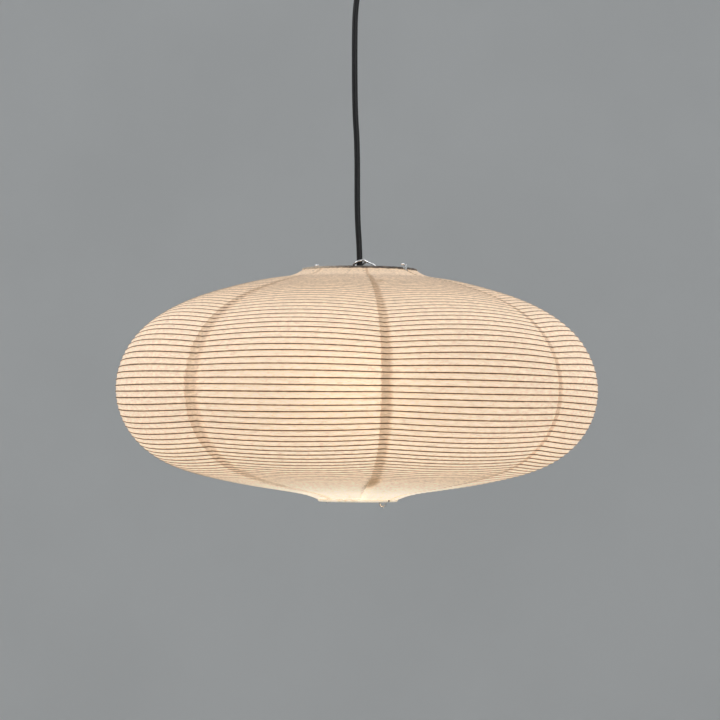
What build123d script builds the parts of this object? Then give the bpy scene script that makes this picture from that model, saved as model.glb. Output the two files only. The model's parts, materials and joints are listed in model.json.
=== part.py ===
"""A flattened paper pendant lantern on a ceiling canopy, in millimetres.

The origin is the middle of the ceiling bracket's top face, +Z up, so that everything hangs below z = 0.
From the top: a steel bracket, a canopy cup with its cord grip and terminal block, a round flexible
cord, a lampholder with a bulb, and a shade of eight paper gores on a spiral rib, kept open by a sprung
wire stretcher, which lies in the XZ plane.
"""

import math
import os

from build123d import *

os.makedirs("parts", exist_ok=True)

# ---- driving dimensions -------------------------------------------------------------------------
EQUATOR_Z = -485.0  # height of the shade's widest circle
SHADE_R = 250.0
TOP_RING_R = 58.0
TOP_RING_Z = EQUATOR_Z + 120.0
BOTTOM_RING_R = 39.7
BOTTOM_RING_Z = EQUATOR_Z - 118.0
RING_WIRE_R = 1.2
HEM_THICKNESS = 0.5
HEM_GAP = 0.05
PAPER = 0.8  # the paper with its glue line, thicker than the sheet alone
SEAMS = [3.1, 47.3, 91.5, 135.8, 180.0, 224.3, 268.5, 315.6]  # where the gores meet, in degrees from +X
RIB_TURNS = 80
RIB_WIDTH = 1.0
RIB_GAP = 0.35  # keeps each turn clear of the paper's inner face
NOTCH = 6.0  # width of the gaps in the hems where the stretcher takes hold

CORD_R = 3.0
UPPER_PIVOT_Z = -41.0
LOWER_PIVOT_Z = -360.8
SOCKET_R = CORD_R + 0.3
SOCKET_LIP = 1.0  # the cord's pivots stand this far outside the mouths that hold its round ends

CUP_R = 45.0
CUP_TOP_Z = -0.5
CUP_BOTTOM_Z = -30.0
CUP_WALL = 1.5
BRACKET_HALF = 42.0
BRACKET_WIDTH = 18.0
BRACKET_STEEL = 1.5
FEED_HOLE_R = 5.0
CEILING_HOLE_X = 27.0
CEILING_HOLE_R = 2.25
SIDE_SCREW_Z = -9.0
SIDE_SCREW_R = 2.0
M10_R = 5.0

STRETCHER_WIRE_R = 1.1
HOOK_R = 2.6  # bend of the wire where it hooks round the top ring
HOOK_END = 4.8  # how far the hooks' ends reach back over the top ring
LOOP_R = 6.6
LOOP_WIRE_R = 1.3
LOOP_Z = -357.4
LOOP_TILT = 26.0  # degrees, its +X side up
LEG_TOP_X = 41.0
FOOT_EYE_R = 3.8
FOOT_HOOK_R = 3.2

HOLDER_R = 20.0
CAP_TOP_Z = -362.6
CAP_BOTTOM_Z = -380.0
HOLDER_BOTTOM_Z = -424.0
BULB_TIP_Z = -402.0
CAP_SHELL_Z = -404.0
BULB_NECK_Z = -428.0
BULB_RIM_Z = -456.0
BULB_R = 27.5
BULB_END_Z = -510.0


def write(builder, label):
    """Label the finished piece and write its STEP file under the same name."""
    builder.part.label = label
    export_step(builder.part, f"parts/{label}.step")


def turn(*profile):
    """Inside a BuildPart: a solid of revolution about Z from closed (radius, height) corners."""
    with BuildSketch(Plane.XZ) as section:
        with BuildLine():
            Polyline(*profile, close=True)
        make_face()
    revolve(section.sketch, axis=Axis.Z)


def bend_wire(points, wire_r, bend_r):
    """Inside a BuildPart: round wire along straight runs with a rounded bend at each corner."""
    with BuildLine() as path:
        FilletPolyline(*points, radius=bend_r)
    with BuildSketch(Plane(path.line @ 0, z_dir=path.line % 0)) as section:
        Circle(wire_r)
    sweep(section.sketch, path=path.line)


def round_end(centre, wire_r, up):
    """Inside a BuildPart: a half ball on the end of a wire, its flat side on the wire's end face."""
    with Locations(Location(centre)):
        Sphere(wire_r, arc_size1=0 if up else -90, arc_size2=90 if up else 0, align=None)


# ---- ceiling bracket ----------------------------------------------------------------------------
TAB_DEPTH = 14.0
with BuildPart() as bracket:
    with Locations((0, 0, -BRACKET_STEEL / 2)):
        Box(2 * BRACKET_HALF, BRACKET_WIDTH, BRACKET_STEEL)
    for side in (-1, 1):
        with Locations((side * (BRACKET_HALF - BRACKET_STEEL / 2), 0, -TAB_DEPTH / 2)):
            Box(BRACKET_STEEL, BRACKET_WIDTH, TAB_DEPTH)
    with Locations((-CEILING_HOLE_X, 0, 0), (CEILING_HOLE_X, 0, 0)):
        Hole(CEILING_HOLE_R)
    Hole(FEED_HOLE_R)
    slot_r = SIDE_SCREW_R + 0.3
    with Locations(Location((0, 0, SIDE_SCREW_Z), (0, 90, 0))):
        Cylinder(slot_r, 2 * BRACKET_HALF + 2, mode=Mode.SUBTRACT)
    with Locations((0, 0, SIDE_SCREW_Z - TAB_DEPTH / 2)):
        Box(2 * BRACKET_HALF + 2, 2 * slot_r, TAB_DEPTH, mode=Mode.SUBTRACT)
write(bracket, "ceiling_bracket")

# ---- canopy -------------------------------------------------------------------------------------
with BuildPart() as cup:
    height = CUP_TOP_Z - CUP_BOTTOM_Z
    with Locations((0, 0, CUP_BOTTOM_Z)):
        Cylinder(CUP_R, height, align=(Align.CENTER, Align.CENTER, Align.MIN))
    fillet(cup.faces().sort_by(Axis.Z)[0].edges(), 6)
    offset(amount=-CUP_WALL, openings=cup.faces().sort_by(Axis.Z)[-1])
    with Locations((0, 0, CUP_BOTTOM_Z)):
        Cylinder(M10_R + 0.2, 4 * CUP_WALL, mode=Mode.SUBTRACT)
    with Locations(Location((0, 0, SIDE_SCREW_Z), (0, 90, 0))):
        Cylinder(SIDE_SCREW_R + 0.2, 2 * CUP_R + 2, mode=Mode.SUBTRACT)
write(cup, "canopy_cup")

SCREW_HEAD_R = 3.6
SCREW_HEAD = 2.2
SCREW_TIP_X = 38.0
with BuildPart() as side_screws:
    for side in (-1, 1):
        shank = CUP_R + 0.1 - SCREW_TIP_X
        head_x = CUP_R + 0.1 + SCREW_HEAD / 2
        with Locations(Location((side * (SCREW_TIP_X + shank / 2), 0, SIDE_SCREW_Z), (0, 90, 0))):
            Cylinder(SIDE_SCREW_R, shank)
        with Locations(Location((side * head_x, 0, SIDE_SCREW_Z), (0, 90, 0))):
            Cylinder(SCREW_HEAD_R, SCREW_HEAD)
        with Locations((side * (head_x + SCREW_HEAD / 2), 0, SIDE_SCREW_Z)):
            Box(2.0, 1.0, 2 * SCREW_HEAD_R + 1, mode=Mode.SUBTRACT)
write(side_screws, "canopy_side_screws")

GRIP_R = 8.0
GRIP_MOUTH_Z = UPPER_PIVOT_Z + SOCKET_LIP
GRIP_TOP_Z = -17.0
GRIP_SCREW_Z = -34.5
with BuildPart() as canopy_grip:
    turn(
        (SOCKET_R, GRIP_TOP_Z),
        (M10_R, GRIP_TOP_Z),
        (M10_R, CUP_BOTTOM_Z),
        (GRIP_R, CUP_BOTTOM_Z),
        (GRIP_R, GRIP_MOUTH_Z + 4),
        (SOCKET_R + 1.6, GRIP_MOUTH_Z),
        (SOCKET_R, GRIP_MOUTH_Z),
    )
    with Locations(Location((0, -GRIP_R, GRIP_SCREW_Z), (90, 0, 0))):
        Cylinder(1.6, 2 * (GRIP_R - CORD_R), mode=Mode.SUBTRACT)
write(canopy_grip, "canopy_cord_grip")

with BuildPart() as grip_screw:
    with Locations(Location((0, -(CORD_R + 0.05), GRIP_SCREW_Z), (90, 0, 0))):
        Cylinder(1.5, GRIP_R - CORD_R + 1.2, align=(Align.CENTER, Align.CENTER, Align.MIN))
    with Locations((0, -(GRIP_R + 1.1), GRIP_SCREW_Z)):
        Box(0.6, 1.4, 4.0, mode=Mode.SUBTRACT)
write(grip_screw, "canopy_grip_screw")

with BuildPart() as grip_nut:
    with BuildSketch(Plane.XY.offset(CUP_BOTTOM_Z + CUP_WALL)):
        RegularPolygon(8.2, 6)
        Circle(M10_R + 0.05, mode=Mode.SUBTRACT)
    extrude(amount=4)
    chamfer(grip_nut.faces().sort_by(Axis.Z)[-1].outer_wire().edges(), 0.6)
write(grip_nut, "canopy_grip_nut")

CORD_STUB_TOP_Z = -13.0
with BuildPart() as cord_upper_end:
    with Locations((0, 0, GRIP_MOUTH_Z + 3.4)):
        Cylinder(
            CORD_R,
            CORD_STUB_TOP_Z - GRIP_MOUTH_Z - 3.4,
            align=(Align.CENTER, Align.CENTER, Align.MIN),
        )
write(cord_upper_end, "cord_upper_end")

BLOCK_Y = 20.0
BLOCK_Z = -14.0
BLOCK_SIZE = (18.0, 14.0, 9.0)
POLE_X = 4.5
with BuildPart() as block:
    with Locations((0, BLOCK_Y, BLOCK_Z)):
        Box(*BLOCK_SIZE)
    fillet(block.edges().filter_by(Axis.Z), 1.2)
    with Locations((0, BLOCK_Y, BLOCK_Z)):
        Box(1.6, BLOCK_SIZE[1] + 1, BLOCK_SIZE[2] / 2, mode=Mode.SUBTRACT)
    with Locations(*[Location((x, BLOCK_Y, BLOCK_Z), (90, 0, 0)) for x in (-POLE_X, POLE_X)]):
        Cylinder(1.6, BLOCK_SIZE[1] + 1, mode=Mode.SUBTRACT)
    with Locations(
        *[(x, BLOCK_Y + y, BLOCK_Z - 3) for x in (-POLE_X, POLE_X) for y in (-3.5, 3.5)]
    ):
        Cylinder(1.5, 6.2, mode=Mode.SUBTRACT)
write(block, "terminal_block")

with BuildPart() as block_screws:
    with Locations(
        *[(x, BLOCK_Y + y, BLOCK_Z - 3.4) for x in (-POLE_X, POLE_X) for y in (-3.5, 3.5)]
    ):
        Cylinder(1.35, 3.6)
write(block_screws, "terminal_screws")

WIRE_R = 0.9
for side, label in ((-1, "live_wire"), (1, "neutral_wire")):
    with BuildPart() as conductor:
        bend_wire(
            [
                (side * 1.3, 0, CORD_STUB_TOP_Z),
                (side * 1.3, 0, CORD_STUB_TOP_Z + 4.5),
                (side * POLE_X, 6.5, CORD_STUB_TOP_Z + 5.0),
                (side * POLE_X, 9.5, BLOCK_Z),
                (side * POLE_X, 17.5, BLOCK_Z),
            ],
            WIRE_R,
            1.9,
        )
    write(conductor, label)

# ---- cord ---------------------------------------------------------------------------------------
CORD_ROUTE = [
    (0, 0, UPPER_PIVOT_Z),
    (0, 0, -55.0),
    (-4.4, -4.2, -86.0),
    (-4.9, -5.3, -120.0),
    (-4.3, -4.5, -198.0),
    (-2.4, -2.2, -236.0),
    (-1.9, -2.3, -308.0),
    (0, 0, -345.0),
    (0, 0, LOWER_PIVOT_Z),
]


def route_radii(route):
    """The largest arc each corner of the route has room for: 0.45 of its shorter run."""
    points = [Vector(p) for p in route]
    radii = []
    for before, corner, after in zip(points, points[1:], points[2:]):
        shorter = min((corner - before).length, (after - corner).length)
        turned = (corner - before).get_angle(after - corner)
        radii.append(0.45 * shorter / math.tan(math.radians(turned / 2)))
    return radii


radii = route_radii(CORD_ROUTE)
with BuildPart() as cord:
    with BuildLine():
        cord_path = FilletPolyline(*CORD_ROUTE, radius=radii)
    with BuildSketch(Plane(CORD_ROUTE[0], z_dir=(0, 0, -1))):
        Circle(CORD_R)
    sweep(path=cord_path)
    round_end(CORD_ROUTE[0], CORD_R, up=True)
    round_end(CORD_ROUTE[-1], CORD_R, up=False)
write(cord, "cord")
tube_volume = math.pi * CORD_R**2 * cord_path.length + 4 / 3 * math.pi * CORD_R**3
print("cord bend radii", [round(r) for r in radii])
print("cord length", round(cord_path.length, 1))
print("cord volume over section times length", round(cord.part.volume / tube_volume, 4))

# ---- lampholder ---------------------------------------------------------------------------------
GLAND_TOP_Z = LOWER_PIVOT_Z - SOCKET_LIP
GLAND_BOTTOM_Z = -374.0
with BuildPart() as gland:
    turn(
        (SOCKET_R, GLAND_TOP_Z),
        (SOCKET_R + 2.4, GLAND_TOP_Z),
        (SOCKET_R + 3.7, GLAND_TOP_Z - 0.5),
        (SOCKET_R + 3.7, CAP_TOP_Z),
        (M10_R, CAP_TOP_Z),
        (M10_R, GLAND_BOTTOM_Z),
        (SOCKET_R, GLAND_BOTTOM_Z),
    )
write(gland, "lampholder_cord_gland")

CAP_WALL = 2.0
with BuildPart() as gland_nut:
    with BuildSketch(Plane.XY.offset(CAP_TOP_Z - CAP_WALL)):
        RegularPolygon(8.2, 6)
        Circle(M10_R + 0.05, mode=Mode.SUBTRACT)
    extrude(amount=-4)
write(gland_nut, "lampholder_gland_nut")

CORD_STUB_BOTTOM_Z = -376.0
with BuildPart() as cord_lower_end:
    with Locations((0, 0, CORD_STUB_BOTTOM_Z)):
        Cylinder(
            CORD_R,
            LOWER_PIVOT_Z - CORD_R - 0.6 - CORD_STUB_BOTTOM_Z,
            align=(Align.CENTER, Align.CENTER, Align.MIN),
        )
write(cord_lower_end, "cord_lower_end")

SHOULDER_R = 15.5  # the cap's top slopes down outside this radius, under the stretcher's arms
with BuildPart() as cap:
    turn(
        (M10_R + 0.1, CAP_TOP_Z),
        (SHOULDER_R, CAP_TOP_Z),
        (HOLDER_R, CAP_TOP_Z - 2.9),
        (HOLDER_R, CAP_BOTTOM_Z),
        (HOLDER_R - CAP_WALL, CAP_BOTTOM_Z),
        (HOLDER_R - CAP_WALL, CAP_TOP_Z - 4.2),
        (SHOULDER_R - 1, CAP_TOP_Z - CAP_WALL),
        (M10_R + 0.1, CAP_TOP_Z - CAP_WALL),
    )
write(cap, "lampholder_cap")

INSERT_TOP_Z = -387.0
INSERT_BOTTOM_Z = -398.0
SHELL_BOTTOM_Z = -421.0
SHELL_R = 14.6
with BuildPart() as body:
    turn(
        (HOLDER_R - 2.5, CAP_BOTTOM_Z - 0.1),
        (HOLDER_R, CAP_BOTTOM_Z - 0.1),
        (HOLDER_R, HOLDER_BOTTOM_Z + 5),
        (HOLDER_R - 1.5, HOLDER_BOTTOM_Z + 4),
        (HOLDER_R - 1.5, HOLDER_BOTTOM_Z + 1),
        (HOLDER_R - 2.5, HOLDER_BOTTOM_Z),
        (SHELL_R + 0.6, HOLDER_BOTTOM_Z),
        (SHELL_R + 0.6, INSERT_BOTTOM_Z - 0.5),
        (HOLDER_R - 2.5, INSERT_BOTTOM_Z - 0.5),
    )
write(body, "lampholder_body")

TERMINAL_X = 9.0
with BuildPart() as insert:
    with BuildSketch(Plane.XY.offset(INSERT_BOTTOM_Z)):
        Circle(HOLDER_R - 3)
    extrude(amount=INSERT_TOP_Z - INSERT_BOTTOM_Z)
    with Locations((0, 0, INSERT_BOTTOM_Z)):
        Cylinder(3.2, 4.0, mode=Mode.SUBTRACT)
    with Locations((-TERMINAL_X, 0, INSERT_TOP_Z), (TERMINAL_X, 0, INSERT_TOP_Z)):
        Cylinder(1.8, 10.0, mode=Mode.SUBTRACT)
write(insert, "lampholder_insert")

with BuildPart() as insert_screws:
    for side in (-1, 1):
        with Locations((side * TERMINAL_X, 0, INSERT_TOP_Z - 1.5)):
            Cylinder(1.5, 5.0)
        with Locations((side * TERMINAL_X, 0, INSERT_TOP_Z + 1.8)):
            Cylinder(2.6, 1.6)
write(insert_screws, "lampholder_terminal_screws")

with BuildPart() as holder_wires:
    for side in (-1, 1):
        bend_wire(
            [
                (side * 1.3, 0, CORD_STUB_BOTTOM_Z),
                (side * 1.3, 0, CORD_STUB_BOTTOM_Z - 3.2),
                (side * 4.6, 0, CORD_STUB_BOTTOM_Z - 6.4),
                (side * 4.6, 0, INSERT_TOP_Z + 0.05),
            ],
            WIRE_R,
            1.2,
        )
write(holder_wires, "lampholder_wires")

THREAD_TURNS = 5
THREAD_PITCH = 3.6
with BuildPart() as shell:
    turn(
        (SHELL_R - 0.6, INSERT_BOTTOM_Z - 0.6),
        (SHELL_R, INSERT_BOTTOM_Z - 0.6),
        (SHELL_R, SHELL_BOTTOM_Z),
        (SHELL_R - 0.6, SHELL_BOTTOM_Z),
    )
    for lap in range(THREAD_TURNS):
        with Locations((0, 0, SHELL_BOTTOM_Z + 2.6 + lap * THREAD_PITCH)):
            Torus(SHELL_R - 0.5, 0.4)
write(shell, "lampholder_screw_shell")

CONTACT_TIP_Z = BULB_TIP_Z + 0.1
with BuildPart() as contact:
    turn(
        (0, INSERT_BOTTOM_Z + 1.6),
        (2.6, INSERT_BOTTOM_Z + 1.6),
        (2.6, INSERT_BOTTOM_Z - 1.0),
        (5.0, INSERT_BOTTOM_Z - 1.6),
        (5.0, INSERT_BOTTOM_Z - 2.4),
        (1.6, CONTACT_TIP_Z),
        (0, CONTACT_TIP_Z),
    )
write(contact, "lampholder_contact")

# ---- bulb ---------------------------------------------------------------------------------------
CAP_R = 13.0
with BuildPart() as bulb_contact:
    turn(
        (0, BULB_TIP_Z),
        (2.2, BULB_TIP_Z),
        (3.6, BULB_TIP_Z - 0.9),
        (3.6, BULB_TIP_Z - 1.4),
        (0, BULB_TIP_Z - 1.4),
    )
write(bulb_contact, "bulb_contact")

with BuildPart() as bulb_insulator:
    turn(
        (0, BULB_TIP_Z - 1.4),
        (4.4, BULB_TIP_Z - 1.4),
        (8.6, CAP_SHELL_Z - 1.0),
        (8.6, CAP_SHELL_Z - 3.0),
        (0, CAP_SHELL_Z - 3.0),
    )
write(bulb_insulator, "bulb_insulator")

with BuildPart() as bulb_cap:
    turn(
        (8.7, CAP_SHELL_Z - 1.2),
        (10.4, CAP_SHELL_Z - 1.2),
        (12.4, CAP_SHELL_Z - 3.0),
        (12.4, BULB_NECK_Z),
        (11.8, BULB_NECK_Z),
        (11.8, CAP_SHELL_Z - 3.6),
        (8.7, CAP_SHELL_Z - 3.6),
    )
    for lap in range(THREAD_TURNS):
        with Locations((0, 0, CAP_SHELL_Z - 5.0 - lap * THREAD_PITCH)):
            Torus(CAP_R - 0.65, 0.6)
write(bulb_cap, "bulb_screw_cap")

with BuildPart() as bulb_collar:
    turn(
        (12.5, BULB_NECK_Z + 2.0),
        (13.6, BULB_NECK_Z + 2.0),
        (13.6, BULB_NECK_Z - 1.5),
        (17.5, BULB_NECK_Z - 10),
        (24.5, BULB_RIM_Z + 1.0),
        (25.2, BULB_RIM_Z),
        (23.0, BULB_RIM_Z),
        (16.0, BULB_NECK_Z - 10),
        (12.5, BULB_NECK_Z - 1.5),
    )
write(bulb_collar, "bulb_collar")

GLOBE_WALL = 1.2
GLOBE_EQUATOR_Z = BULB_END_Z + BULB_R
with BuildPart() as globe:
    with BuildSketch(Plane.XZ):
        with BuildLine():
            outer_top = Line((23.0, BULB_RIM_Z - 0.1), (25.2, BULB_RIM_Z - 0.1))
            outer_side = ThreePointArc(outer_top @ 1, (28.2, -467.5), (BULB_R, GLOBE_EQUATOR_Z))
            outer_end = CenterArc((0, GLOBE_EQUATOR_Z), BULB_R, 0, -90)
            inner_r = BULB_R - GLOBE_WALL
            step_up = Line(outer_end @ 1, (0, BULB_END_Z + GLOBE_WALL))
            inner_end = CenterArc((0, GLOBE_EQUATOR_Z), inner_r, -90, 90)
            ThreePointArc(inner_end @ 1, (27.0, -467.7), outer_top @ 0)
        make_face()
    revolve(axis=Axis.Z)
write(globe, "bulb_globe")

with BuildPart() as led_board:
    with Locations((0, 0, BULB_RIM_Z + 0.9)):
        Cylinder(20.5, 1.4)
    with PolarLocations(13.0, 10):
        with Locations((0, 0, BULB_RIM_Z - 0.2)):
            Box(3.0, 3.0, 0.8)
write(led_board, "bulb_led_board")

with BuildPart() as driver:
    with Locations((0, 0, BULB_NECK_Z - 10.0)):
        Box(15.0, 1.2, 26.0)
    with Locations((2.5, 3.2, BULB_NECK_Z - 8.0)):
        Cylinder(2.6, 9.0)
    with Locations((-3.0, -3.0, BULB_NECK_Z - 9.0)):
        Box(6.0, 4.8, 7.0)
write(driver, "bulb_driver")

# ---- shade --------------------------------------------------------------------------------------
HEM_R = RING_WIRE_R + HEM_GAP + HEM_THICKNESS
with BuildPart() as top_ring:
    with Locations((0, 0, TOP_RING_Z)):
        Torus(TOP_RING_R, RING_WIRE_R)
write(top_ring, "top_ring")

with BuildPart() as bottom_ring:
    with Locations((0, 0, BOTTOM_RING_Z)):
        Torus(BOTTOM_RING_R, RING_WIRE_R)
write(bottom_ring, "bottom_ring")


def folded_hem(ring_r, ring_z, outward):
    """Inside a BuildPart: paper folded round a ring from the side that is outward (1 up, -1 down)."""
    with BuildSketch(Plane.XZ) as section:
        with Locations((ring_r, ring_z)):
            Circle(HEM_R)
            Circle(RING_WIRE_R + HEM_GAP, mode=Mode.SUBTRACT)
        with Locations((ring_r, ring_z - outward * (HEM_R + 0.6))):
            Rectangle(4 * HEM_R, 2 * HEM_R, mode=Mode.SUBTRACT)
    revolve(section.sketch, axis=Axis.Z)
    with Locations((0, 0, ring_z)):
        Box(2 * ring_r + 4 * HEM_R, NOTCH, 4 * HEM_R, mode=Mode.SUBTRACT)


with BuildPart() as top_hem:
    folded_hem(TOP_RING_R, TOP_RING_Z, 1)
write(top_hem, "top_hem")

with BuildPart() as bottom_hem:
    folded_hem(BOTTOM_RING_R, BOTTOM_RING_Z, -1)
write(bottom_hem, "bottom_hem")

# The shade's outline from top ring to bottom ring, as (radius, height above the widest circle).
OUTLINE = [
    (TOP_RING_R + HEM_R + 0.2, 119.4),
    (90.0, 110.8),
    (131.0, 102.0),
    (171.0, 89.4),
    (204.0, 72.8),
    (228.5, 52.0),
    (SHADE_R, 0.0),
    (239.5, -43.7),
    (206.0, -77.2),
    (158.0, -94.8),
    (105.0, -105.0),
    (66.0, -110.8),
    (BOTTOM_RING_R + HEM_R + 0.9, -117.0),
]
with BuildLine() as shade_line:
    Spline(*[(r, EQUATOR_Z + h) for r, h in OUTLINE], tangents=((0.8, -0.6), (-0.9, -0.4)))
outline = shade_line.line


def beside_outline(share, depth):
    """The (radius, height) point at this share of the outline's length, moved inwards by depth."""
    point = outline @ share
    along = outline % share
    return (point.X + along.Y * depth, point.Y - along.X * depth)


INNER_POINTS = 48
for gore, (start, end) in enumerate(zip(SEAMS, SEAMS[1:] + [SEAMS[0] + 360])):
    with BuildPart() as sheet:
        with BuildSketch(Plane.XZ.rotated((0, 0, start))):
            with BuildLine():
                add(outline)
                Line(outline @ 1, beside_outline(1, PAPER))
                steps = range(INNER_POINTS, -1, -1)
                Spline(*[beside_outline(step / INNER_POINTS, PAPER) for step in steps])
                Line(beside_outline(0, PAPER), outline @ 0)
            make_face()
        revolve(axis=Axis.Z, revolution_arc=end - start)
        with Locations((0, 0, TOP_RING_Z)):
            Box(2 * (TOP_RING_R + HOOK_R + STRETCHER_WIRE_R + 0.6), NOTCH, 9.0, mode=Mode.SUBTRACT)
    write(sheet, f"paper_gore_{gore + 1}")

with BuildPart() as rib:
    with BuildSketch(Plane.XZ):
        rib_depth = PAPER + RIB_GAP + RIB_WIDTH / 2
        middles = [(lap + 0.5) / RIB_TURNS for lap in range(RIB_TURNS)]
        with Locations(*[beside_outline(share, rib_depth) for share in middles]):
            Rectangle(RIB_WIDTH, RIB_WIDTH)
    revolve(axis=Axis.Z)
write(rib, "spiral_rib")

# ---- stretcher ----------------------------------------------------------------------------------
ARM_LOW_Z = TOP_RING_Z - HOOK_R
HOOK_X = TOP_RING_R + HOOK_R
# Each arm from the loop, down past the lampholder and round under the top ring, as (x, z).
RIGHT_ARM = [
    (5.93, -354.5),
    (8.0, -355.3),
    (20.0, -360.0),
    (32.0, ARM_LOW_Z),
    (HOOK_X, ARM_LOW_Z),
    (HOOK_X, TOP_RING_Z + 4.8),
    (HOOK_X - HOOK_END, TOP_RING_Z + 4.8),
]
LEFT_ARM = [
    (-5.93, -360.3),
    (-8.0, -361.0),
    (-16.0, -361.2),
    (-24.0, -365.8),
    (-34.0, ARM_LOW_Z),
    (-HOOK_X, ARM_LOW_Z),
    (-HOOK_X, TOP_RING_Z + 7.0),
    (HOOK_END - HOOK_X, TOP_RING_Z + 7.0),
]
with BuildPart() as arms:
    with Locations(Location((0, 0, LOOP_Z), (0, -LOOP_TILT, 0))):
        Torus(LOOP_R, LOOP_WIRE_R)
    for arm in (RIGHT_ARM, LEFT_ARM):
        bend_wire([(x, 0, z) for x, z in arm], STRETCHER_WIRE_R, HOOK_R - 0.5)
        with Locations((arm[-1][0], 0, arm[-1][1])):
            Sphere(STRETCHER_WIRE_R)
write(arms, "stretcher_arms")

LEG_TOP_Z = ARM_LOW_Z - 2 * STRETCHER_WIRE_R - 0.05


def leg(foot, foot_r, turned):
    """Inside a BuildPart: a straight leg down to its (x, z) foot, where the wire turns by an angle."""
    top = (math.copysign(LEG_TOP_X, foot[0]), LEG_TOP_Z)
    with BuildLine(Plane.XZ) as path:
        shaft = Line(top, foot)
        bend = JernArc(shaft @ 1, shaft % 1, foot_r, turned)
    with BuildSketch(Plane(shaft @ 0, z_dir=shaft % 0)) as section:
        Circle(STRETCHER_WIRE_R)
    sweep(section.sketch, path=path.line)
    with Locations(Location(shaft @ 0), Location(bend @ 1)):
        Sphere(STRETCHER_WIRE_R)


with BuildPart() as left_leg:
    leg((FOOT_HOOK_R - BOTTOM_RING_R, BOTTOM_RING_Z), FOOT_HOOK_R, -115)
write(left_leg, "stretcher_leg_left")

with BuildPart() as right_leg:
    leg((37.0, BOTTOM_RING_Z - 3.0), FOOT_EYE_R, -270)
write(right_leg, "stretcher_leg_right")
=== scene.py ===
"""The looks of a lit paper pendant lantern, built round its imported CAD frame, in metres."""

import json
import math

import bmesh
import bpy
import numpy as np
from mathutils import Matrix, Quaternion, Vector


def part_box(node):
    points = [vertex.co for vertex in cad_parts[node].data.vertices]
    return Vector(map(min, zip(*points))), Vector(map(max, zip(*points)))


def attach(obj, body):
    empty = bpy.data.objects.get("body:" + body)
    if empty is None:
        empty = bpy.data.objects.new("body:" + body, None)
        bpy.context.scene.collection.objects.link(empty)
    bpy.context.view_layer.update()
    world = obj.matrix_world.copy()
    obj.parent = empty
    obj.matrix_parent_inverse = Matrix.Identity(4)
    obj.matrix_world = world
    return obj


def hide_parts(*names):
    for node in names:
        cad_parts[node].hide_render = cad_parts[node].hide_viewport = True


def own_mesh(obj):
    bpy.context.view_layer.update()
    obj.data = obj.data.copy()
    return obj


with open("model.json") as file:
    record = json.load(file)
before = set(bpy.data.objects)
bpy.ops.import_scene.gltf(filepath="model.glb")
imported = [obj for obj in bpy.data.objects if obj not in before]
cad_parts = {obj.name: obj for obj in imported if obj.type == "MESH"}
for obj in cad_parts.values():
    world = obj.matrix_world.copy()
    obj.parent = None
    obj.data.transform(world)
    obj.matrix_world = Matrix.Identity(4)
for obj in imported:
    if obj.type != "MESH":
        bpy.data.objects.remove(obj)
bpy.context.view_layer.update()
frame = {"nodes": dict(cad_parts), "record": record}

NODES = frame["nodes"]
MM = 0.001


# ---- measures, from the frame -------------------------------------------------------------------
def ring_of(node):
    """(radius of the wire's middle, height, wire radius) of a wire ring in the frame."""
    low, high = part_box(node)
    wire = (high.z - low.z) / 2
    return (high.x - low.x) / 2 - wire, (high.z + low.z) / 2, wire


TOP_R, TOP_Z, RING_WIRE = ring_of("top_ring")
BOTTOM_R, BOTTOM_Z, _ = ring_of("bottom_ring")
EQUATOR_Z = TOP_Z - 120 * MM  # the shade's widest circle
BULB_LOW, BULB_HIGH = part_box("bulb_globe")

# ---- camera -------------------------------------------------------------------------------------
VIEW_AZIMUTH = math.radians(38.7)
VIEW_ELEVATION = math.radians(-1.5)
VIEW_ROLL = math.radians(0.45)
VIEW_DISTANCE = 3.0
LENS_MM = 144.7
CLIP = 0.05, 60
AIM_UP, AIM_RIGHT = 27 * MM, 1.2 * MM  # of the middle of the shade's widest circle


def make_camera():
    right = Vector((math.cos(VIEW_AZIMUTH), math.sin(VIEW_AZIMUTH), 0))
    back = Vector((math.sin(VIEW_AZIMUTH), -math.cos(VIEW_AZIMUTH), 0))
    away = back * math.cos(VIEW_ELEVATION) + Vector((0, 0, math.sin(VIEW_ELEVATION)))
    data = bpy.data.cameras.new("camera")
    data.lens = LENS_MM
    data.clip_start, data.clip_end = CLIP
    camera = bpy.data.objects.new("camera", data)
    bpy.context.scene.collection.objects.link(camera)
    aim = Vector((0, 0, EQUATOR_Z + AIM_UP)) + right * AIM_RIGHT
    camera.location = aim + away * VIEW_DISTANCE
    camera.rotation_mode = "QUATERNION"
    camera.rotation_quaternion = away.to_track_quat("Z", "Y") @ Quaternion((0, 0, 1), VIEW_ROLL)
    bpy.context.scene.camera = camera


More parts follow.
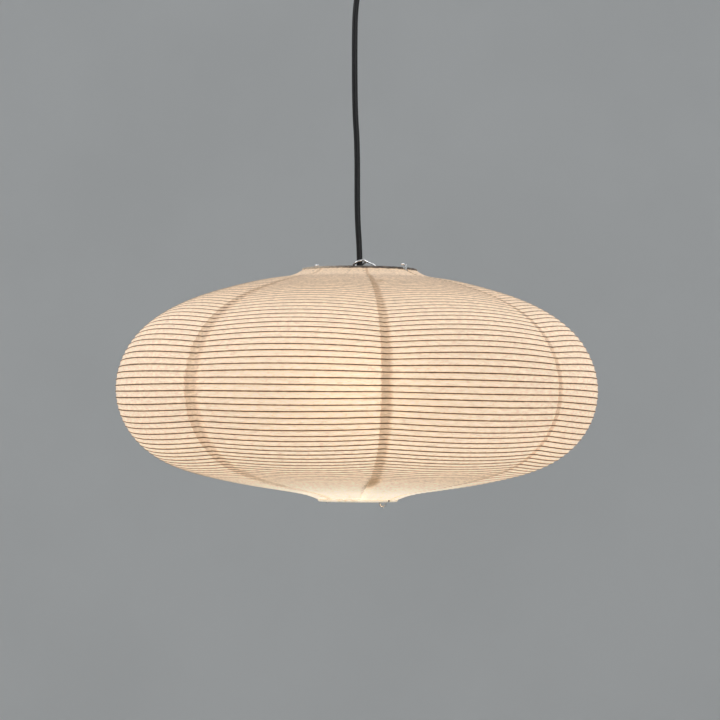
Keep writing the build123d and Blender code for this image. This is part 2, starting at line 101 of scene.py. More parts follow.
# ---- node materials -----------------------------------------------------------------------------
class Finish:
    """A node material under construction, with short calls for the nodes that repeat."""

    def __init__(self, name):
        self.material = bpy.data.materials.new(name)
        self.material.use_nodes = True
        self.tree = self.material.node_tree
        self.tree.nodes.clear()
        self.output = self.tree.nodes.new("ShaderNodeOutputMaterial")

    def node(self, kind, inputs=None, **settings):
        made = self.tree.nodes.new("ShaderNode" + kind)
        for key, value in settings.items():
            setattr(made, key, value)
        for key, value in (inputs or {}).items():
            self.feed(made.inputs[key], value)
        return made

    def feed(self, socket, value):
        if isinstance(value, bpy.types.NodeSocket):
            self.tree.links.new(value, socket)
        elif isinstance(value, bpy.types.Node):
            self.tree.links.new(value.outputs[0], socket)
        else:
            socket.default_value = value

    def math(self, operation, a, b=0.0, clamp=False):
        made = self.node("Math", {0: a, 1: b}, operation=operation, use_clamp=clamp)
        return made.outputs[0]

    def smooth(self, value, low, high, to_low=0.0, to_high=1.0):
        made = self.node(
            "MapRange",
            {"Value": value, "From Min": low, "From Max": high, "To Min": to_low, "To Max": to_high},
            interpolation_type="SMOOTHSTEP",
        )
        return made.outputs["Result"]

    def attribute(self, name, vector=False):
        made = self.node("Attribute", attribute_name=name, attribute_type="GEOMETRY")
        return made.outputs["Vector" if vector else "Fac"]

    def noise(self, scale, stretch=(1, 1, 1), detail=3.0, roughness=0.55, coords=None):
        if coords is None:
            coords = self.node("TexCoord").outputs["Object"]
        spread = self.node("Mapping", {"Vector": coords, "Scale": stretch})
        settings = {"Vector": spread, "Scale": scale, "Detail": detail, "Roughness": roughness}
        return self.node("TexNoise", settings).outputs["Fac"]

    def mix(self, share, a, b):
        made = self.node("Mix", data_type="RGBA", blend_type="MIX")
        self.feed(made.inputs["Factor"], share)
        self.feed(made.inputs["A"], a)
        self.feed(made.inputs["B"], b)
        return made.outputs["Result"]

    def tint(self, colour, factor):
        """The colour times a number that varies over the surface."""
        made = self.node("VectorMath", operation="SCALE")
        self.feed(made.inputs[0], colour[:3] if isinstance(colour, tuple) else colour)
        self.feed(made.inputs["Scale"], factor)
        return made.outputs["Vector"]

    def times(self, a, b):
        """Two colours multiplied."""
        made = self.node("VectorMath", operation="MULTIPLY")
        self.feed(made.inputs[0], a[:3] if isinstance(a, tuple) else a)
        self.feed(made.inputs[1], b[:3] if isinstance(b, tuple) else b)
        return made.outputs["Vector"]

    def bump(self, height, distance, strength=1.0):
        settings = {"Height": height, "Distance": distance, "Strength": strength}
        return self.node("Bump", settings).outputs["Normal"]

    def principled(self, **inputs):
        named = {key.replace("_", " "): value for key, value in inputs.items()}
        return self.node("BsdfPrincipled", named)

    def finish(self, shader):
        self.feed(self.output.inputs["Surface"], shader)
        return self.material


def rgb(r, g, b):
    return (r, g, b, 1.0)


def moulded(name, dark, light, roughness, grain=900.0, depth=0.03 * MM, **extra):
    """A moulded or coated surface: two close colours, uneven gloss and a fine texture."""
    f = Finish(name)
    cloud = f.noise(60.0, detail=4.0)
    fine = f.noise(grain, detail=2.0)
    gloss = f.smooth(cloud, 0.3, 0.7, roughness - 0.06, roughness + 0.08)
    shader = f.principled(
        Base_Color=f.mix(f.smooth(cloud, 0.35, 0.7), dark, light),
        Roughness=gloss,
        Normal=f.bump(fine, depth, 0.6),
        **extra,
    )
    return f.finish(shader)


def drawn_metal(name, dark, light, roughness, stretch=(1, 1, 0.05)):
    """Plain metal with fine lines along its length and a little tarnish."""
    f = Finish(name)
    lines = f.noise(2500.0, stretch=stretch, detail=2.0)
    tarnish = f.noise(180.0, detail=5.0)
    shader = f.principled(
        Base_Color=f.mix(f.smooth(tarnish, 0.35, 0.75), light, dark),
        Metallic=1.0,
        Roughness=f.smooth(f.math("ADD", lines, tarnish), 0.7, 1.3, roughness, roughness + 0.16),
        Normal=f.bump(lines, 0.01 * MM, 0.5),
    )
    return f.finish(shader)


RIB_PITCH_MM = 6.3  # between two turns of the rib, near enough for the width of its lines
LAMP_TAN = rgb(1.0, 0.66, 0.42)
LAMP_WARM = rgb(1.0, 0.76, 0.57)
LAMP_PALE = rgb(1.0, 0.88, 0.70)
# painted shade of the doubled paper at the seams, on the glow and on the paper's colour
SEAM_SHADE_TINT = rgb(0.70, 0.65, 0.59)
# the colour of the darker tan patches beside the seams
TAN_PATCH_TINT = rgb(0.66, 0.50, 0.31)
# the rib's painted shadow: a tint for its soft edge on the glow, and a dark paper colour for its line
RIB_SHADOW_TINT = rgb(0.93, 0.73, 0.47)
PAPER_BASE = rgb(0.74, 0.66, 0.54)
RIB_SHADOW_BASE = rgb(0.19, 0.085, 0.03)
PAPER_EMISSION = 0.74
WHITE = rgb(1, 1, 1)
CORE_DARK, SHOULDER_DARK = 0.95, 0.06  # how much light the rib's line and its soft edge take


def rib_shadow(f, sheet):
    """The rib's line and its soft edge, 1 on the rib and 0 between its turns, a little uneven."""
    off_rib = f.math("MULTIPLY", f.math("PINGPONG", f.attribute("phase"), 0.5), RIB_PITCH_MM)
    off_rib = f.math("DIVIDE", off_rib, f.attribute("rib_wide"))
    wobble = f.math("MULTIPLY", f.math("SUBTRACT", f.noise(160.0, coords=sheet), 0.5), 0.35)
    off_rib = f.math("ADD", off_rib, wobble)
    shows = f.attribute("rib_shadow_shows")
    core = f.math("MULTIPLY", f.smooth(off_rib, 0.2, 0.82, 1.0, 0.0), shows)
    shoulder = f.math("MULTIPLY", f.smooth(off_rib, 0.3, 1.6, 1.0, 0.0), shows)
    return core, shoulder


def seam_shadow(f, sheet):
    """Painted shade on the overlaps where gores are pasted together: blotched bands with a ragged edge,
    darkest along one side.
    """
    ragged = f.math("SUBTRACT", f.noise(300.0, detail=4.0, coords=sheet), 0.5)
    blotch = f.smooth(f.noise(240.0, coords=sheet), 0.3, 0.7, 0.8, 1.15)
    darkest = 0.0
    for side in ("seam_low", "seam_high"):
        across = f.math("ADD", f.attribute(side), ragged)
        begins = f.smooth(across, -1.1, -0.9)
        band = f.math("MULTIPLY", begins, f.smooth(across, 0.2, 1.2, 1.0, 0.0))
        edge = f.math("MULTIPLY", begins, f.smooth(across, -0.8, -0.2, 0.35, 0.0))
        band = f.math("ADD", f.math("MULTIPLY", band, blotch), edge)
        darkest = f.math("MAXIMUM", darkest, band)
    return f.math("MULTIPLY", darkest, f.attribute("seam_depth"))


def paper_fibres(f, sheet):
    """The paper's fibres: how much light they let through, and the two noises that they are made of."""
    long_fibre = f.noise(900.0, stretch=(0.10, 1, 1), detail=4.0, coords=sheet)
    pulp = f.noise(260.0, stretch=(0.5, 1, 1), detail=6.0, roughness=0.65, coords=sheet)
    spread = f.node("Mapping", {"Vector": sheet, "Scale": (0.16, 1, 1)})
    strands = f.node("TexVoronoi", {"Vector": spread, "Scale": 420.0}, feature="DISTANCE_TO_EDGE")
    strand_light = f.smooth(strands.outputs["Distance"], 0.0, 0.10, 0.88, 1.0)
    streaks = f.smooth(long_fibre, 0.3, 0.7, -0.08, 0.08)
    clouds = f.smooth(pulp, 0.3, 0.7, 0.89, 1.11)
    return f.math("MULTIPLY", f.math("ADD", streaks, clouds), strand_light), long_fibre, pulp


def lit_paper():
    """Rice paper lit from inside: glow from the lamp, the rib's shadow lines, seams and fibres."""
    f = Finish("rice_paper")
    sheet = f.attribute("sheet", vector=True)
    glow = f.attribute("glow")
    core, shoulder = rib_shadow(f, sheet)
    rib_light = f.math("SUBTRACT", 1.0, f.math("MULTIPLY", core, CORE_DARK))
    rib_light = f.math("SUBTRACT", rib_light, f.math("MULTIPLY", shoulder, SHOULDER_DARK))
    fibre_light, long_fibre, pulp = paper_fibres(f, sheet)
    light = f.math("MULTIPLY", rib_light, fibre_light)

    # painted shade at the seams, times the darker tan patches beside them
    seam_shade_and_patches = f.times(
        f.mix(seam_shadow(f, sheet), WHITE, SEAM_SHADE_TINT),
        f.mix(f.attribute("crease"), WHITE, TAN_PATCH_TINT),
    )
    warm = f.mix(f.smooth(glow, 0.50, 0.82), LAMP_TAN, LAMP_WARM)
    warm = f.mix(f.smooth(glow, 0.93, 1.06), warm, LAMP_PALE)
    # painted shadow of the rib's soft edge on the glow
    warm = f.mix(shoulder, warm, f.times(warm, RIB_SHADOW_TINT))
    lamp = f.tint(f.times(warm, seam_shade_and_patches), f.math("MULTIPLY", light, glow))
    # the paper's colour, darkened along the rib's painted shadow line
    base = f.times(f.mix(core, PAPER_BASE, RIB_SHADOW_BASE), seam_shade_and_patches)
    relief = f.math("ADD", f.math("MULTIPLY", long_fibre, 0.6), pulp)
    skin = f.principled(
        Base_Color=f.tint(base, fibre_light),
        Roughness=f.smooth(pulp, 0.3, 0.7, 0.80, 0.94),
        Normal=f.bump(relief, 0.12 * MM, 0.5),
        Emission_Color=lamp,
        Emission_Strength=PAPER_EMISSION,
        Transmission_Weight=0.2,
        Specular_IOR_Level=0.25,
    )
    through = f.node("BsdfTranslucent", {"Color": f.tint(rgb(0.9, 0.78, 0.6), light)})
    return f.finish(f.node("MixShader", {0: 0.18, 1: skin, 2: through}))


def hem_paper(name, dark, light, glow):
    """Doubled paper pasted round a ring: creased across, with painted shade in its creases and painted
    shade that varies round the ring.
    """
    f = Finish(name)
    sheet = f.attribute("sheet", vector=True)
    crease = f.noise(900.0, stretch=(1, 0.2, 1), detail=3.0, coords=sheet)
    stain = f.smooth(f.noise(140.0, detail=5.0, coords=sheet), 0.3, 0.7, -0.2, 0.2)
    # how lit the hem is painted: random tone, less the painted shade by angle round the ring
    clear = f.math("SUBTRACT", f.math("ADD", 1.0, stain), f.attribute("hem_shade"))
    colour = f.mix(clear, dark, light)
    shader = f.principled(
        # the creases are darkened with painted shade
        Base_Color=f.mix(f.smooth(crease, 0.55, 0.8, 0.0, 0.6), colour, dark),
        Roughness=f.math("ADD", f.math("MULTIPLY", crease, 0.3), 0.55),
        Normal=f.bump(crease, 0.15 * MM, 0.7),
        Emission_Color=f.tint(rgb(1.0, 0.82, 0.62), clear),
        Emission_Strength=glow,
    )
    return f.finish(shader)


def rib_finish():
    """Brown cane with a fine grain."""
    f = Finish("rib_brown")
    grain = f.noise(1200.0, detail=4.0)
    colour = f.mix(f.smooth(grain, 0.3, 0.7), rgb(0.085, 0.048, 0.026), rgb(0.17, 0.10, 0.055))
    shader = f.principled(
        Base_Color=colour,
        Roughness=f.smooth(grain, 0.3, 0.7, 0.45, 0.65),
        Normal=f.bump(grain, 0.05 * MM, 0.5),
    )
    return f.finish(shader)


def opal_globe():
    """A lit opal diffuser, a little dimmer and warmer up towards its collar."""
    f = Finish("opal_globe")
    cloud = f.noise(90.0, detail=3.0)
    height = f.node("SeparateXYZ", {0: f.node("TexCoord").outputs["Object"]}).outputs["Z"]
    collar = f.smooth(height, BULB_LOW.z, BULB_HIGH.z)
    colour = f.mix(collar, rgb(1.0, 0.86, 0.64), rgb(1.0, 0.74, 0.46))
    shader = f.principled(
        Base_Color=f.mix(f.smooth(cloud, 0.3, 0.7), rgb(0.86, 0.84, 0.80), rgb(0.92, 0.90, 0.86)),
        Roughness=f.smooth(cloud, 0.3, 0.7, 0.25, 0.35),
        Emission_Color=colour,
        Emission_Strength=12.0,
    )
    return f.finish(shader)


def cord_sheath():
    """Smooth black PVC with a faint lengthwise drag and dust."""
    f = Finish("cord_sheath")
    drag = f.noise(1500.0, stretch=(1, 1, 0.03), detail=2.0)
    dust = f.noise(220.0, detail=5.0)
    shader = f.principled(
        Base_Color=f.mix(f.smooth(dust, 0.5, 0.8), rgb(0.006, 0.006, 0.007), rgb(0.02, 0.02, 0.021)),
        Roughness=f.smooth(drag, 0.3, 0.7, 0.36, 0.5),
        Normal=f.bump(drag, 0.02 * MM, 0.5),
    )
    return f.finish(shader)


FADE_LOW, FADE_HIGH = 1.2, 5.0  # heights between which the backdrop thins out into the sky


def studio_floor():
    """A pale floor and backdrop with no top edge: it thins out into the sky."""
    f = Finish("studio_floor")
    cloud = f.noise(1.4, detail=3.0)
    colour = f.mix(f.smooth(cloud, 0.3, 0.7), rgb(0.78, 0.78, 0.77), rgb(0.81, 0.81, 0.80))
    shader = f.principled(Base_Color=colour, Roughness=0.9)
    height = f.node("SeparateXYZ", {0: f.node("TexCoord").outputs["Object"]}).outputs["Z"]
    gone = f.smooth(height, FADE_LOW, FADE_HIGH)
    return f.finish(f.node("MixShader", {0: gone, 1: shader, 2: f.node("BsdfTransparent")}))


# ---- mesh helpers -------------------------------------------------------------------------------
def piece_from(name, vertices, faces, material, attributes=None, smooth=True):
    mesh = bpy.data.meshes.new(name)
    mesh.from_pydata([tuple(v) for v in vertices], [], faces)
    for key, values in (attributes or {}).items():
        values = np.asarray(values, np.float32)
        kind = "FLOAT_VECTOR" if values.ndim == 2 else "FLOAT"
        stored = mesh.attributes.new(key, kind, "POINT")
        stored.data.foreach_set("vector" if values.ndim == 2 else "value", values.ravel())
    mesh.materials.append(material)
    mesh.polygons.foreach_set("use_smooth", [smooth] * len(mesh.polygons))
    mesh.update()
    piece = bpy.data.objects.new(name, mesh)
    bpy.context.scene.collection.objects.link(piece)
    return piece


def grid_faces(rows, columns, wrap=False):
    """Quads over rows of vertices, each row joined to the next, and round on itself with wrap."""
    spans = columns if wrap else columns - 1
    return [
        (
            row * columns + column,
            row * columns + (column + 1) % columns,
            (row + 1) * columns + (column + 1) % columns,
            (row + 1) * columns + column,
        )
        for row in range(rows - 1)
        for column in range(spans)
    ]


# ---- the shade's surface ------------------------------------------------------------------------
# The outline from the top ring to the bottom one, as (radius, height above the widest circle) in mm.
OUTLINE = [
    (59.95, 119.4),
    (90.0, 110.8),
    (131.0, 102.0),
    (171.0, 89.4),
    (204.0, 72.8),
    (228.5, 52.0),
    (250.0, 0.0),
    (239.5, -43.7),
    (206.0, -77.2),
    (158.0, -94.8),
    (105.0, -105.0),
    (66.0, -110.8),
    (42.35, -117.0),
]
OUTLINE_START, OUTLINE_END = (0.8, -0.6), (-0.914, -0.406)  # its directions at its two ends
SEAMS = [3.1, 47.3, 91.5, 135.8, 180.0, 224.3, 268.5, 315.6]  # where gores meet, degrees from +X
OVERLAPS_MM = [3.9, 5.5, 4.6, 6.0, 4.8, 5.4, 9.6, 5.9]  # half each pasted overlap, where widest
SEAM_DEPTHS = [0.9, 0.8, 0.7, 0.9, 0.75, 0.8, 0.78, 1.0]  # how much shade is painted on each overlap
SEAM_FADES = [0.3, 0.4, 0.3, 0.4, 0.3, 0.4, 0.2, 1.0]  # how much it fades near the bottom
GORES = len(SEAMS)
RIB_TURNS = 80
RIB_R = 0.5 * MM
PAPER = 0.15 * MM
SAG = 0.9 * MM  # how far the paper sinks between two turns of the rib
LEAN = Vector((-0.78, -0.625)) * 2.1 * MM  # the paper's middle hangs a little to this side
WIDEST = 0.478  # the widest circle, as a share of the outline from the top
SCALLOP_UPPER, SCALLOP_LOWER = 0.0165, 0.0105  # how far the rib rides up or down between seams
DRIFT = 0.00035  # how unevenly the rib was wound, as a share of the outline
NOTCH_HALF, NOTCH_DEPTH = 3.2 * MM, 3.4 * MM  # the paper's openings for the stretcher's hooks
SEAM_SINK = 1.0 * MM  # how much deeper the paper lies at its seams than in the middle of a gore


def spline_table(points, start, end, samples=6000):
    """Even steps along a smooth curve through the points, with its unit tangents and its length."""
    p = np.array(points, float)
    knots = np.concatenate([[0], np.cumsum(np.hypot(*np.diff(p, axis=0).T))])
    gaps = np.diff(knots)
    n = len(p)
    left, right = np.zeros((n, n)), np.zeros((n, 2))
    left[0, 0] = left[-1, -1] = 1
    right[0], right[-1] = start, end
    for i in range(1, n - 1):
        left[i, i - 1 : i + 2] = gaps[i], 2 * (gaps[i - 1] + gaps[i]), gaps[i - 1]
        before, after = (p[i] - p[i - 1]) / gaps[i - 1], (p[i + 1] - p[i]) / gaps[i]
        right[i] = 3 * (gaps[i] * before + gaps[i - 1] * after)
    slopes = np.linalg.solve(left, right)
    at = np.linspace(0, knots[-1], samples)
    span = np.clip(np.searchsorted(knots, at, side="right") - 1, 0, n - 2)
    h = gaps[span][:, None]
    t = ((at - knots[span]) / gaps[span])[:, None]
    curve = (
        (2 * t**3 - 3 * t**2 + 1) * p[span]
        + (t**3 - 2 * t**2 + t) * h * slopes[span]
        + (3 * t**2 - 2 * t**3) * p[span + 1]
        + (t**3 - t**2) * h * slopes[span + 1]
    )
    run = np.concatenate([[0], np.cumsum(np.hypot(*np.diff(curve, axis=0).T))])
    share = run / run[-1]
    even = np.linspace(0, 1, samples)
    curve = np.column_stack([np.interp(even, share, curve[:, i]) for i in (0, 1)])
    along = np.gradient(curve, axis=0)
    along /= np.hypot(*along.T)[:, None]
    return even, curve * MM, along, run[-1] * MM


SHARES, CURVE, ALONG, OUTLINE_LENGTH = spline_table(OUTLINE, OUTLINE_START, OUTLINE_END)


def on_outline(share):
    """(radius, height) and the unit tangent at these shares of the outline."""
    place = [np.interp(share, SHARES, CURVE[:, i]) for i in (0, 1)]
    along = [np.interp(share, SHARES, ALONG[:, i]) for i in (0, 1)]
    return place, along


def at_share(table, share):
    """A value from a table of (share of the outline, value)."""
    return np.interp(share, *np.array(table).T)


def smoothstep(x, low=0.0, high=1.0):
    t = np.clip((x - low) / (high - low), 0, 1)
    return t * t * (3 - 2 * t)


def bellied(angle):
    """1 in the middle of a gore and 0 on its seams."""
    marks = np.array(SEAMS[-1:] + SEAMS + SEAMS[:1], float)
    marks[0] -= 360
    marks[-1] += 360
    place = np.interp(np.degrees(angle) % 360, marks, np.arange(len(marks)))
    return np.abs(np.sin(np.pi * place))


def paper_share(angle, turn):
    """Where on the outline the paper lies that carries this turn of the rib."""
    share = turn / RIB_TURNS
    belly = bellied(angle) ** 0.9
    above = np.sin(np.pi * np.clip(share / WIDEST, 0, 1))
    below = np.sin(np.pi * np.clip((share - WIDEST) / (1 - WIDEST), 0, 1))
    drift = DRIFT * (np.sin(3 * angle + 0.9 * turn) + np.sin(5 * angle - 2.3 * turn + 1.0))
    drift *= np.clip(share * 8, 0, 1) * np.clip((1 - share) * 8, 0, 1)
    ride = belly * (SCALLOP_LOWER * below - SCALLOP_UPPER * above)
    return np.clip(share + ride + drift, 0, 1)


def shade_points(angle, turn, depth):
    """Points under the shade's outer face at this angle, turn of the rib and depth."""
    share = paper_share(angle, turn)
    (radius, height), (along_r, along_z) = on_outline(share)
    depth = depth + SEAM_SINK * (1 - bellied(angle)) * np.sin(np.pi * share)
    radius = radius + along_z * depth
    height = height - along_r * depth
    lean = np.sin(np.pi * share)
    x = radius * np.cos(angle) + LEAN.x * lean
    y = radius * np.sin(angle) + LEAN.y * lean
    return np.stack([x, y, EQUATOR_Z + height], axis=-1), share


# How brightly the paper is lit from inside, at shares of the outline from the top.
GLOW = [
    (0.0, 0.50),
    (0.015, 0.54),
    (0.04, 0.46),
    (0.08, 0.46),
    (0.155, 0.50),
    (0.20, 0.55),
    (0.27, 0.68),
    (0.33, 0.77),
    (0.45, 0.80),
    (0.56, 0.86),
    (0.62, 0.97),
    (0.68, 0.96),
    (0.76, 0.96),
    (0.86, 1.03),
    (1.0, 1.10),
]
# How strongly the rib's painted shadow line shows through the paper, at shares of the outline from the
# top.
RIB_SHADOW_SHOWS = [
    (0.02, 0.0),
    (0.06, 0.22),
    (0.12, 0.5),
    (0.20, 0.75),
    (0.32, 1.0),
    (0.62, 1.0),
    (0.72, 0.75),
    (0.80, 0.45),
    (0.88, 0.2),
    (0.96, 0.0),
]
# Darker tan patches and small pulls in the paper beside a seam, as degrees from +X, share of the
# outline, half width in degrees, half height as a share, and strength.
CREASES = [
    (315.3, 0.812, 2.7, 0.056, 0.55),
    (318.3, 0.135, 1.5, 0.014, 0.4),
    (267.4, 0.850, 1.4, 0.014, 0.5),
    (49.0, 0.830, 1.6, 0.018, 0.6),
    (92.6, 0.845, 1.4, 0.014, 0.4),
    (136.9, 0.825, 1.7, 0.018, 0.5),
    (181.2, 0.860, 1.5, 0.014, 0.5),
    (225.0, 0.835, 1.5, 0.016, 0.4),
]
CREASE_LEAN = 0.35  # how far a stain leans sideways over its half height, in half widths
CREASE_DEPTH = 0.4 * MM
LAP_DEPTH = 0.14 * MM  # of the lower sheet under the upper one at a seam
PUCKER_DEPTH = 0.35 * MM
PUCKER_REACH = 0.035  # how far the puckers run from each ring, as a share of the outline
RING_FIRMNESS = 14  # how soon the paper starts to sag away from a ring
ROWS_PER_TURN = 4
LEAD_TURNS = 2  # the rows slant down round the shade, so they start this many turns above it
INNER_COLUMNS = 20
BAND_STEPS = (-1.0, -0.5, 0.0, 0.5, 1.0, 1.7, 2.6)  # columns at a seam, in halves of its overlap
SEAM_BAND = 1.0  # where an overlap ends, in the same halves
EQUATOR_R = 250 * MM


# How the half width of an overlap of TAPERED_MM follows the radius, above and below the middle.
TAPERED_MM = 5.1
UPPER_TAPER = 0.0204
LOWER_TAPER, LOWER_LEAST = 0.008, 3.1 * MM


def seam_half_width(radius, below, overlap_mm):
    """Half the width of the glued overlap, which narrows towards the top ring more than below."""
    upper, lower = UPPER_TAPER * radius, LOWER_LEAST + LOWER_TAPER * radius
    return overlap_mm / TAPERED_MM * (upper * (1 - below) + lower * below)


def gore_columns(start, end, here, there, row_share):
    """The angles of a gore's columns, row by row, and how far each is from its two seams."""
    (radius, _), _ = on_outline(row_share)
    below = smoothstep(row_share, 0.42, 0.68) * (1 - 0.5 * smoothstep(row_share, 0.82, 0.95))
    half_low = seam_half_width(radius, below, OVERLAPS_MM[here]) / radius
    half_high = seam_half_width(radius, below, OVERLAPS_MM[there]) / radius
    low = start + half_low * np.array(BAND_STEPS)
    high = end - half_high * np.array(BAND_STEPS[::-1])
    middle = np.linspace(0, 1, INNER_COLUMNS + 2)[1:-1]
    inside = low[:, -1:] + (high[:, :1] - low[:, -1:]) * middle
    angle = np.concatenate([low, inside, high], axis=1)
    return angle, radius, (angle - start) / half_low, (end - angle) / half_high


def notched(turn, radius, angle):
    """The turn of the rib at each point, kept between the rings and clear of the hooks."""
    sideways = np.abs(radius * np.sin(angle))
    ramp = smoothstep(sideways, NOTCH_HALF - 0.8 * MM, NOTCH_HALF + 0.8 * MM)
    return np.clip(turn, NOTCH_DEPTH * (1 - ramp) / OUTLINE_LENGTH * RIB_TURNS, RIB_TURNS)


def creased(angle, share):
    """How strong the darker tan patches and pulls are at each point."""
    total = 0
    for at, middle, half_width, half_height, strength in CREASES:
        up = (share - middle) / half_height
        off = (angle % (2 * math.pi) - math.radians(at)) / math.radians(half_width)
        total = total + strength * np.exp(-((off + CREASE_LEAN * up) ** 4) - up**4)
    return total


def gore_depth(number, angle, share, phase, lap, crease):
    """How far the paper lies under the outline: its sag, its laps, its puckers and its pulls."""
    firm = np.clip(np.minimum(share, 1 - share) * RING_FIRMNESS, 0.15, 1)
    pucker = np.sin(angle * 46 + 1.3 * np.sin(angle * 9)) * np.sin(angle * 17 + number)
    near_rings = np.exp(-share / PUCKER_REACH) + np.exp(-(1 - share) / PUCKER_REACH)
    depth = SAG * np.abs(np.sin(math.pi * phase)) * firm + LAP_DEPTH * (1 + lap)
    return depth + pucker * PUCKER_DEPTH * near_rings + CREASE_DEPTH * crease


def gore_piece(number, material):
    """One paper gore, lapped over the one before it, in rows that follow the rib's turns."""
    here, there = number - 1, number % GORES
    start = math.radians(SEAMS[here])
    end = math.radians(SEAMS[there] + (360 if there == 0 else 0))
    rows = np.arange((RIB_TURNS + LEAD_TURNS) * ROWS_PER_TURN + 1)[:, None] / ROWS_PER_TURN
    row_share = np.clip(rows / RIB_TURNS, 0, 1)
    angle, radius, from_low, from_high = gore_columns(start, end, here, there, row_share)
    turn = notched(rows + angle / (2 * math.pi) - LEAD_TURNS, radius, angle)
    share = turn / RIB_TURNS
    lap = smoothstep(from_low, SEAM_BAND, 2.6) - smoothstep(from_high, SEAM_BAND, 2.6)
    crease = creased(angle, share)
    phase = rows + 0 * angle
    depth = gore_depth(number, angle, share, phase, lap, crease)
    points, share = shade_points(angle, turn, depth)

    nearest = from_low < from_high
    fade = np.where(nearest, SEAM_FADES[here], SEAM_FADES[there]) * smoothstep(share, 0.80, 0.88)
    widened = 0.7 * smoothstep(share, 0.58, 0.70) + 0.5 * (1 - smoothstep(share, 0.12, 0.24))
    values = {
        "phase": phase,
        "seam_low": np.clip(from_low, -3, 3),
        "seam_high": np.clip(-from_high, -3, 3),
        "seam_depth": np.where(nearest, SEAM_DEPTHS[here], SEAM_DEPTHS[there]) * (1 - fade),
        "glow": at_share(GLOW, share),
        "rib_shadow_shows": at_share(RIB_SHADOW_SHOWS, share),
        "rib_wide": 1 + widened,
        "crease": crease,
    }
    values = {key: value.ravel() for key, value in values.items()}
    sheet = np.stack([angle * EQUATOR_R, share * OUTLINE_LENGTH, number + 0 * share], axis=-1)
    values["sheet"] = sheet.reshape(-1, 3)
    faces = grid_faces(*angle.shape)
    piece = piece_from(f"rice_paper_gore_{number}", points.reshape(-1, 3), faces, material, values)
    drop_flat_faces(piece)
    width = (end - start) * EQUATOR_R + (OVERLAPS_MM[here] + OVERLAPS_MM[there]) * MM
    return piece, (width, OUTLINE_LENGTH)


def drop_flat_faces(piece):
    """Merge the vertices that the rims have pushed together and drop what is left with no area."""
    bm = bmesh.new()
    bm.from_mesh(piece.data)
    bmesh.ops.remove_doubles(bm, verts=bm.verts, dist=1e-6)
    bmesh.ops.dissolve_degenerate(bm, dist=1e-6, edges=bm.edges)
    bm.to_mesh(piece.data)
    bm.free()


def fold_with_shade(piece):
    """Give the piece a mesh of its own."""
    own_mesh(piece)


def make_gores():
    material = lit_paper()
    for number in range(1, GORES + 1):
        piece, flat = gore_piece(number, material)
        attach(piece, "lantern")
        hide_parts(f"paper_gore_{number}")
        fold_with_shade(piece)


BARE_TURNS = 0.35  # where the rib starts and ends, from each ring
SPIRAL_STEPS = 96
WIRE_SIDES = 6


def tube(centres, tangents, outward, radius, sides):
    """Rings of vertices round a path; outward is any direction across it."""
    side = np.cross(tangents, outward)
    side /= np.linalg.norm(side, axis=1)[:, None]
    up = np.cross(side, tangents)
    up /= np.linalg.norm(up, axis=1)[:, None]
    turns = np.arange(sides) * 2 * math.pi / sides
    rings = [centres + radius * (math.cos(a) * up + math.sin(a) * side) for a in turns]
    return np.stack(rings, axis=1)


def make_rib():
    """The rib, one long spiral under the paper that winds down anticlockwise seen from above."""
    steps = int((RIB_TURNS - 2 * BARE_TURNS) * SPIRAL_STEPS)
    turns = np.linspace(BARE_TURNS, RIB_TURNS - BARE_TURNS, steps)
    angle = turns * 2 * math.pi
    centres, _ = shade_points(angle, turns, PAPER + RIB_R + 0.05 * MM)
    tangents = np.gradient(centres, axis=0)
    tangents /= np.linalg.norm(tangents, axis=1)[:, None]
    outward = np.stack([np.cos(angle), np.sin(angle), 0 * angle], axis=-1)
    rings = tube(centres, tangents, outward, RIB_R, WIRE_SIDES)
    vertices = rings.reshape(-1, 3)
    faces = grid_faces(len(rings), WIRE_SIDES, wrap=True)
    faces += [tuple(range(WIRE_SIDES))[::-1]]
    faces += [tuple(len(vertices) - WIRE_SIDES + i for i in range(WIRE_SIDES))]
    piece = piece_from("rib_spiral", vertices, faces, rib_finish())
    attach(piece, "lantern")
    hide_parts("spiral_rib")
    fold_with_shade(piece)


# ---- hems ---------------------------------------------------------------------------------------
HEM_STEPS = 16
HEM_COLUMNS = 360
HEM_WRAP = (-38, 205)  # how far a hem goes round its ring's wire, in degrees
HEM_CLEARANCE = 0.34 * MM
HOOK_GAP_HALF = NOTCH_HALF - 0.4 * MM  # half of the top hem's opening for a hook
FOOT_GAP_HALF = 1.6 * MM  # half of the bottom hem's opening for a foot
# How much painted shade darkens each hem, at degrees from +X.
TOP_HEM_SHADE = [
    (0, 1.0),
    (25, 0.9),
    (50, 0.6),
    (120, 0.7),
    (190, 0.35),
    (225, 0.15),
    (272, 0.35),
    (300, 0.9),
    (360, 1.0),
]
BOTTOM_HEM_SHADE = [(0, 0.1), (90, 0.3), (180, 0.2), (270, 0.05), (290, 0.25), (310, 0.05), (360, 0.1)]


def hem_half(side, ring_r, ring_z, outward, shade_table, gap_half):
    """Half a hem, from one of the stretcher's openings to the other: points, sheet places and painted
    shade.
    """
    gap = gap_half / ring_r
    ends = side * math.pi + gap, (side + 1) * math.pi - gap
    angle = np.linspace(*ends, HEM_COLUMNS // 2)[None, :]
    wrap = np.radians(np.linspace(*HEM_WRAP, HEM_STEPS))[:, None]
    pleat = np.sin(angle * 61 + 2 * np.sin(angle * 7)) * np.sin(angle * 23 + 1.7)
    flare = 0.12 * MM * pleat + 0.05 * MM * np.sin(angle * 140 + wrap * 2)
    around = RING_WIRE + HEM_CLEARANCE + flare
    radius = ring_r + around * np.cos(wrap)
    height = ring_z + outward * around * np.sin(wrap)
    points = [radius * np.cos(angle), radius * np.sin(angle), height]
    sheet = [angle * ring_r + 0 * wrap, wrap * around, 0 * around]
    hem_shade = np.interp(np.degrees(angle), *np.array(shade_table, float).T) + 0 * wrap
    return np.stack(points, axis=-1), np.stack(sheet, axis=-1), hem_shade


